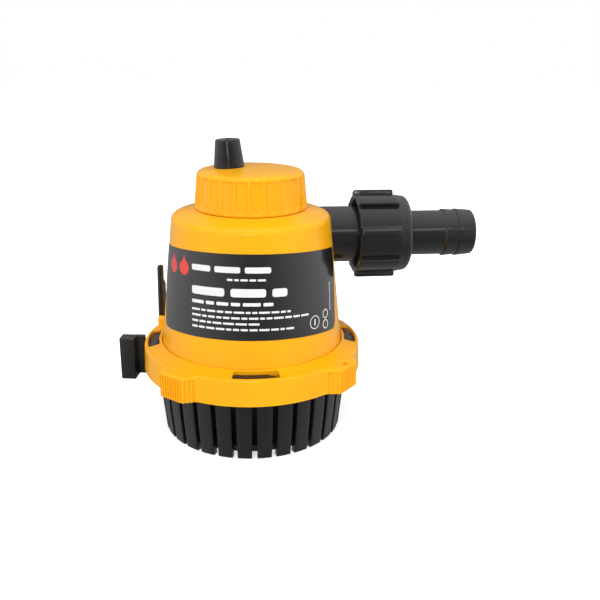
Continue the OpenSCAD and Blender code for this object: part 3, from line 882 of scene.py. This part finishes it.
def lock_lever():
    blade_r = 46.4
    blade_t = 1.6
    half = 1.6
    wide = 1.4
    wide_z = 57.0
    top = 64.0
    corner = 1.2
    lean = math.radians(1.2)
    straight = upright(LEVER_AT)

    def place(u, v, w):
        out = w - LEVER_PIVOT_R
        up = v - LEVER_PIVOT_Z
        r = LEVER_PIVOT_R + out * math.cos(lean) - up * math.sin(lean)
        return straight(r, u, LEVER_PIVOT_Z + out * math.sin(lean) + up * math.cos(lean))

    outline = [(half, LEVER_PIVOT_Z), (half, top - corner)]
    outline += arc(half - corner, top - corner, corner, 0, 90, 6)
    outline += arc(corner - half, top - corner, corner, 90, 180, 6)
    outline += [(-half, wide_z), (-half - 0.5, wide_z - 0.5), (-half - wide, wide_z - 2.2)]
    outline += [(-half - wide * 0.7, 30), (-half, 28), (-half, LEVER_PIVOT_Z)]
    blade = part("lever_blade", prism, outline, blade_r, blade_r + blade_t, place)
    bevel(blade, 0.4, 3)
    parts = [blade]
    for r, reach in ((2.4, 3.0), (1.5, 5.2)):
        outline = arc(LEVER_PIVOT_R, LEVER_PIVOT_Z, r, 0, 350, 35)
        pin = part("lever_pin", prism, outline, -reach, reach, lambda u, v, w: place(w, v, u))
        bevel(pin, 0.2)
        parts.append(pin)
    lever = merge("lock_lever_fine", parts)
    smooth(lever, 35)
    install(lever, "lever", MATERIALS["black_plastic"], "black_plastic", "lock_lever")


# ---------------------------------------------------------------- outlet
def outlet_spigot():
    start = SPIGOT_IN
    collar = 46.4
    end = 58.6
    bore = 8.3
    profile = [(bore, start), (TUBE_R - 0.3, start), (TUBE_R, start + 0.3)]
    profile += [(TUBE_R, start + (collar - start) * i / 6) for i in range(1, 6)]
    profile += [(TUBE_R, collar - 0.5), (TUBE_R + 0.15, collar - 0.15), (TUBE_R + 0.5, collar)]
    profile += [(COLLAR_R - 0.6, collar), (COLLAR_R - 0.15, collar + 0.2), (COLLAR_R, collar + 0.7)]
    threads = int((end - collar - 2) / THREAD_PITCH)
    for i in range(threads):
        x = collar + 1.6 + i * THREAD_PITCH
        profile += [(COLLAR_R, x), (COLLAR_R - 0.7, x + 0.7)]
        profile += [(COLLAR_R - 0.7, x + 1.3), (COLLAR_R, x + 2.0)]
    profile += [(COLLAR_R, end - 0.3), (COLLAR_R - 0.3, end), (bore, end)]
    spigot = part("outlet_spigot_fine", lathe, profile, turns(144), along_outlet)
    smooth(spigot)
    install(spigot, "pump", MATERIALS["black_gloss_plastic"], "black_plastic", "outlet_spigot")


def hose_barb():
    flange_in = low_mm("hose_barb").x
    flange_out = flange_in + 2.2
    crest_1 = 82.5
    crest_2 = 87.9
    bore = 7.7
    inside_edge = 0.5
    flange_r = COLLAR_R - 0.4
    profile = [(bore, flange_in), (flange_r - 0.3, flange_in), (flange_r, flange_in + 0.3)]
    profile += [(flange_r, flange_out - 0.3), (flange_r - 0.3, flange_out)]
    profile += [(SHANK_R + 0.5, flange_out), (SHANK_R + 0.1, flange_out + 0.15)]
    profile.append((SHANK_R, flange_out + 0.6))
    profile += [(SHANK_R, flange_out + (crest_1 - flange_out - 0.6) * i / 6) for i in range(1, 7)]
    tip = BARB_R - 0.5
    teeth = ((crest_1, 0.5, BARB_R - 0.4, crest_2), (crest_2, 1.0, tip + 0.05, BARB_END - 1.6))
    for at, land, end_r, end in teeth:
        profile += [(BARB_R - 0.15, at + 0.02), (BARB_R, at + 0.2), (BARB_R, at + land)]
        for i in range(1, 4):
            r = BARB_R + (end_r - BARB_R) * i / 3
            profile.append((r, at + land + (end - 0.02 - at - land) * i / 3))
    nose = 0.9
    profile += arc(tip - nose, BARB_END - nose, nose, 6, 90, 8)
    profile += [(bore + inside_edge, BARB_END), (bore + 0.1, BARB_END - 0.15)]
    profile.append((bore, BARB_END - 0.5))
    barb = part("hose_barb_fine", lathe, profile, turns(144), along_outlet)
    smooth(barb)
    install(barb, "hose_tail", MATERIALS["black_gloss_plastic"], "black_plastic", "hose_barb")


def union_nut():
    bore = COLLAR_R + 0.1
    shoulder = 62.8
    hole = SHANK_R + 0.2
    rib_in = NUT_IN + 0.15
    rib_out = 61.2
    rib_half = 1.8
    ribs = 8
    phase = 30.0
    collar = 2.6
    edge = 0.6
    wall_end = 62.0
    start = NUT_IN + edge
    profile = [(bore + 0.9, NUT_IN), (NUT_R - edge, NUT_IN)] + arc(NUT_R - edge, start, edge, -70, 0, 4)
    profile += [(NUT_R - 0.03 * i, start + (wall_end - start) * i / 6) for i in range(1, 6)]
    profile += [(NUT_R - 0.15, wall_end), (NUT_R - 0.3, wall_end + 0.5), (NUT_R - 0.45, wall_end + 1.2)]
    profile += arc(NUT_R - 0.5 - collar, NUT_OUT - collar, collar, 8, 90, 10)
    profile += [(hole + 0.8, NUT_OUT), (hole + 0.15, NUT_OUT - 0.15), (hole, NUT_OUT - 0.6)]
    profile += [(hole, shoulder), (bore, shoulder), (bore, NUT_IN + 0.9)]
    parts = [part("nut_body", lathe, profile, turns(160), along_outlet)]
    outline = [(rib_in, NUT_R - 1), (rib_in, NUT_RIB_R - 0.7), (rib_in + 0.5, NUT_RIB_R)]
    outline += [(rib_out - 0.5, NUT_RIB_R), (rib_out, NUT_RIB_R - 0.7), (rib_out, NUT_R - 1)]
    for k in range(ribs):
        at = phase + 360.0 * k / ribs

        def place(x, r, w):
            return along_outlet(math.hypot(r, w), at + math.degrees(math.atan2(w, r)), x)

        rib = part("nut_rib", prism, outline, -rib_half, rib_half, place)
        bevel(rib, 0.4, 3, 30)
        parts.append(rib)
    nut = merge("union_nut_fine", parts)
    smooth(nut, 35)
    install(nut, "union", MATERIALS["black_gloss_plastic"], "black_plastic", "union_nut")


# ---------------------------------------------------------------- label
LABEL_Z = 66.85
LABEL_AT = -99.5
LABEL_HALF_W = 49.0
LABEL_HALF_H = 16.6
DROP_R = 2.9
SIN_CONE = CONE_SLOPE / math.hypot(1, CONE_SLOPE)
COS_CONE = math.sqrt(1 - SIN_CONE * SIN_CONE)


def on_cone(u, v, lift):
    """A point of a flat sheet (u across, v up, from the label's centre) laid on the cone."""
    reach = cone_r(LABEL_Z) / SIN_CONE
    slant = math.hypot(u, reach - v)
    turn = math.atan2(u, reach - v) / SIN_CONE
    z = LABEL_Z - (slant - reach) * COS_CONE
    return polar(slant * SIN_CONE + lift, LABEL_AT + math.degrees(turn), z + lift * SIN_CONE)


def tapered(u, v, lift):
    """The label's own outline is a little narrower at the bottom, and more so on its left."""
    low = (1 - v / LABEL_HALF_H) / 2
    return on_cone(u * (1 - 0.094 * low) + 2.25 * low, v, lift)


def sheet(bm, us, span, at_u=0.0, at_v=0.0, lift=0.16, thick=0.02, rows=3, place=on_cone):
    """A thin closed sheet on the cone: at each u it reaches from span(u)[0] to span(u)[1]."""
    layers = []
    for height in (lift, lift + thick):
        layer = []
        for u in us:
            low, high = span(u)
            vs = [at_v + low + (high - low) * i / rows for i in range(rows + 1)]
            layer.append([bm.verts.new(place(at_u + u, v, height) * MM) for v in vs])
        layers.append(layer)
    low, high = layers
    last = len(us) - 1
    for i in range(last):
        for k in range(rows):
            bm.faces.new((low[i][k + 1], low[i + 1][k + 1], low[i + 1][k], low[i][k]))
            bm.faces.new((high[i][k], high[i + 1][k], high[i + 1][k + 1], high[i][k + 1]))
        bm.faces.new((low[i][0], low[i + 1][0], high[i + 1][0], high[i][0]))
        bm.faces.new((low[i + 1][rows], low[i][rows], high[i][rows], high[i + 1][rows]))
    for k in range(rows):
        bm.faces.new((low[0][k + 1], low[0][k], high[0][k], high[0][k + 1]))
        bm.faces.new((low[last][k], low[last][k + 1], high[last][k + 1], high[last][k]))


def patch(bm, half_u, half_v, corner, at_u, at_v, **kind):
    """A rounded rectangle on the cone."""
    columns = max(2, int(2 * half_u / 1.2))
    fine = [corner * (1 - math.cos(math.radians(15 * k))) for k in range(7)]
    middle = [(half_u - corner) * (2.0 * k / columns - 1) for k in range(1, columns)]
    us = [f - half_u for f in fine] + middle + [half_u - f for f in reversed(fine)]

    def span(u):
        inside = max(0.0, abs(u) - half_u + corner)
        reach = half_v - corner + math.sqrt(max(0.0, corner * corner - inside * inside))
        return -reach, reach

    sheet(bm, us, span, at_u, at_v, **kind)


def word_bars(bm, rng, start, end, at_v, height):
    """A row of plain rounded bars, one for each word: it stands for a line of print."""
    u = start
    gap = height * 0.75
    while u < end - height:
        width = min(end - u, height * rng.uniform(2.2, 5.5))
        if end - u - width < height * 2.5:
            width = end - u
        patch(bm, width / 2, height / 2, height * 0.3, u + width / 2, at_v)
        u += width + gap


def badge(bm, at_u, at_v, r, stroke):
    """A plain printed circle line."""
    rows = ((r, 0.18), (r, 0.16), (r - stroke, 0.16), (r - stroke, 0.18))

    def point(i, j):
        reach, lift = rows[i]
        a = 2 * math.pi * j / 40
        return on_cone(at_u + reach * math.cos(a), at_v + reach * math.sin(a), lift)

    grid(bm, 4, 40, point)


def drop_span(u):
    """A water drop with its tip up."""
    round_part = math.sqrt(max(0.0, DROP_R * DROP_R - u * u))
    return -round_part, max(round_part, 5.2 * (1 - (abs(u) / DROP_R) ** 0.7))


def body_label():
    bm = bmesh.new()
    patch(bm, LABEL_HALF_W, LABEL_HALF_H, 3.0, 0, 0, lift=0.0, thick=0.15, rows=10, place=tapered)
    label = make_object("body_label_fine", bm)
    smooth(label)
    install(label, "pump", MATERIALS["label_film"], "label_film", "body_label")

    # Lines of print: where each starts and ends across the label, its place up the label, its height
    left = -21
    lines = (
        (left, 11, 10.6, 2.3),
        (-5.6, 9, 6.85, 0.8),
        (left, 17.5, 1.9, 3.2),
        (left, 12, -2.5, 1.3),
        (left, 19.0, -5.6, 0.8),
        (left, 27.4, -7.85, 0.8),
        (left, 6.7, -10.1, 0.8),
        (left, 20.5, -12.35, 0.8),
    )
    badges = ((30.8, -11.6, 2.7, 0.32), (37.6, -9.2, 1.9, 0.42), (37.6, -13.4, 1.9, 0.42))
    rng = random.Random(12)
    bm = bmesh.new()
    for start, end, v, height in lines:
        word_bars(bm, rng, start, end, v, height)
    for u, v, r, stroke in badges:
        badge(bm, u, v, r, stroke)
    patch(bm, 0.3, 1.3, 0.2, 30.8, -11.6)
    patch(bm, 0.2, 5.8, 0.15, 41.5, -2.6)
    white = make_object("label_print_white", bm)
    smooth(white)
    install(white, "pump", MATERIALS["label_white"], "label_film")

    us = [DROP_R * math.sin(math.radians(90 * t / 14)) for t in range(-14, 15)]
    bm = bmesh.new()
    for side in (-1, 1):
        sheet(bm, us, drop_span, -29.6 + 3.9 * side, 9.6, rows=6)
    red = make_object("label_print_red", bm)
    smooth(red)
    install(red, "pump", MATERIALS["label_red"], "label_film")


# ---------------------------------------------------------------- brush springs
def brush_spring(node):
    """A coil spring behind a brush."""
    wire = 0.2
    coil = 1.2
    wound = 5
    steps = 24
    low = low_mm(node)
    high = high_mm(node)
    start = low.x + wire + 0.04
    length = high.x - low.x - 2 * wire - 0.08
    middle = (low + high) / 2
    loops = []
    for i in range(wound * steps + 1):
        share = i / (wound * steps)
        a = 2 * math.pi * wound * share
        away = Vector((0, math.cos(a), math.sin(a)))
        centre = Vector((start + length * share, middle.y, middle.z)) + away * coil
        section = arc(0, 0, 1, 0, 315, 7)
        loops.append([centre + away * (wire * u) + Vector((wire * v, 0, 0)) for u, v in section])
    spring = part(node + "_fine", loft, loops)
    smooth(spring)
    install(spring, "cartridge", MATERIALS["stainless"], SLOTS[node], node)
    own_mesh(spring)


body_shell()
top_cap()
cable_gland()
lock_ring()
strainer_base()
lock_lever()
outlet_spigot()
hose_barb()
union_nut()
body_label()
brush_spring("brush_spring_a")
brush_spring("brush_spring_b")


# ---------------------------------------------------------------- floor, light and camera
def area_light(name, at, size_x, size_y, power, glossy=True):
    """A soft rectangular light that faces the middle of the pump."""
    aim = Vector((0.01, 0, 0.06))
    data = bpy.data.lights.new(name, "AREA")
    data.shape = "RECTANGLE"
    data.size = size_x
    data.size_y = size_y
    data.energy = power
    obj = bpy.data.objects.new(name, data)
    obj.location = at
    obj.rotation_euler = (aim - Vector(at)).to_track_quat("-Z", "Y").to_euler()
    obj.visible_camera = False
    obj.visible_glossy = glossy
    bpy.context.scene.collection.objects.link(obj)


def studio():
    floor_half = 3.0
    bm = bmesh.new()
    corners = ((-1, -1), (1, -1), (1, 1), (-1, 1))
    bm.faces.new([bm.verts.new((floor_half * x, floor_half * y, 0)) for x, y in corners])
    floor = make_object("floor", bm)
    m = Recipe("floor_white")
    tone = m.mix(m.noise(3, 2), (0.88, 0.88, 0.88, 1), (0.92, 0.92, 0.92, 1))
    m.set(Base_Color=tone, Roughness=0.6, Specular_IOR_Level=0.2)
    seen = m.tree.nodes.new("ShaderNodeLightPath").outputs["Is Camera Ray"]
    away = m.tree.nodes.new("ShaderNodeVectorMath")
    away.operation = "LENGTH"
    m.link(m.coords, away.inputs[0])
    glow = m.ramp(away.outputs["Value"], 0.05, 0.4, 0.62, 1.0)
    m.set(Emission_Color=(1, 1, 1, 1), Emission_Strength=m.math("MULTIPLY", seen, glow))
    floor.visible_glossy = False
    floor.data.materials.append(m.material)

    world = bpy.data.worlds.new("studio")
    world.use_nodes = True
    world.cycles.sampling_method = "NONE"
    sky = Recipe.on_tree(world.node_tree)
    split = sky.tree.nodes.new("ShaderNodeSeparateXYZ")
    sky.link(sky.tree.nodes.new("ShaderNodeTexCoord").outputs["Generated"], split.inputs[0])
    path = sky.tree.nodes.new("ShaderNodeLightPath").outputs
    # Shiny surfaces see white walls to the sides, darker behind the camera and towards the floor
    square = sky.math("MULTIPLY", split.outputs["Y"], split.outputs["Y"])
    walls = sky.math("MULTIPLY", square, -1.15)
    height = sky.ramp(split.outputs["Z"], -0.45, -0.1, 0.3, 1.0)
    walls = sky.math("MULTIPLY", sky.math("ADD", walls, 1.3), height)
    seen = sky.math("ADD", sky.math("MULTIPLY", walls, path["Is Glossy Ray"]), 0.11)
    back = sky.tree.nodes["Background"]
    back.inputs["Color"].default_value = (1, 1, 1, 1)
    sky.link(sky.math("MAXIMUM", seen, path["Is Camera Ray"]), back.inputs["Strength"])
    bpy.context.scene.world = world
    area_light("left", (-0.66, -0.55, 0.45), 1.0, 1.1, 5.0, glossy=False)
    area_light("right", (0.7, -0.5, 0.45), 1.0, 1.1, 4.6, glossy=False)
    area_light("top", (0.0, -0.05, 0.95), 0.6, 0.9, 6.0, glossy=False)
    area_light("key", (-0.1, -0.84, 0.42), 0.08, 0.45, 1.3)
    area_light("strip", (0.3, -0.8, 0.5), 0.4, 0.05, 0.35)
    bpy.context.scene.view_settings.view_transform = "Standard"


def camera():
    """Close view from in front of the label, a little to its left and above the cap."""
    distance = 0.3023
    height = 0.1558
    from_front = math.radians(-3.2)
    yaw = math.radians(3.86) - from_front
    pitch = math.radians(18.53)
    roll = math.radians(0.62)
    at = Vector((distance * math.sin(from_front), -distance * math.cos(from_front), height))
    level_part = math.cos(pitch)
    forward = Vector((math.sin(yaw) * level_part, math.cos(yaw) * level_part, -math.sin(pitch)))
    right = forward.cross(UP).normalized()
    level = right
    above = right.cross(forward)
    right = level * math.cos(roll) + above * math.sin(roll)
    above = above * math.cos(roll) - level * math.sin(roll)
    data = bpy.data.cameras.new("view")
    data.lens = 45
    data.sensor_width = 36
    data.clip_start = 0.01
    obj = bpy.data.objects.new("view", data)
    turn = Matrix((right, above, -forward)).transposed().to_4x4()
    obj.matrix_world = Matrix.Translation(at) @ turn
    bpy.context.scene.collection.objects.link(obj)
    bpy.context.scene.camera = obj


studio()
camera()
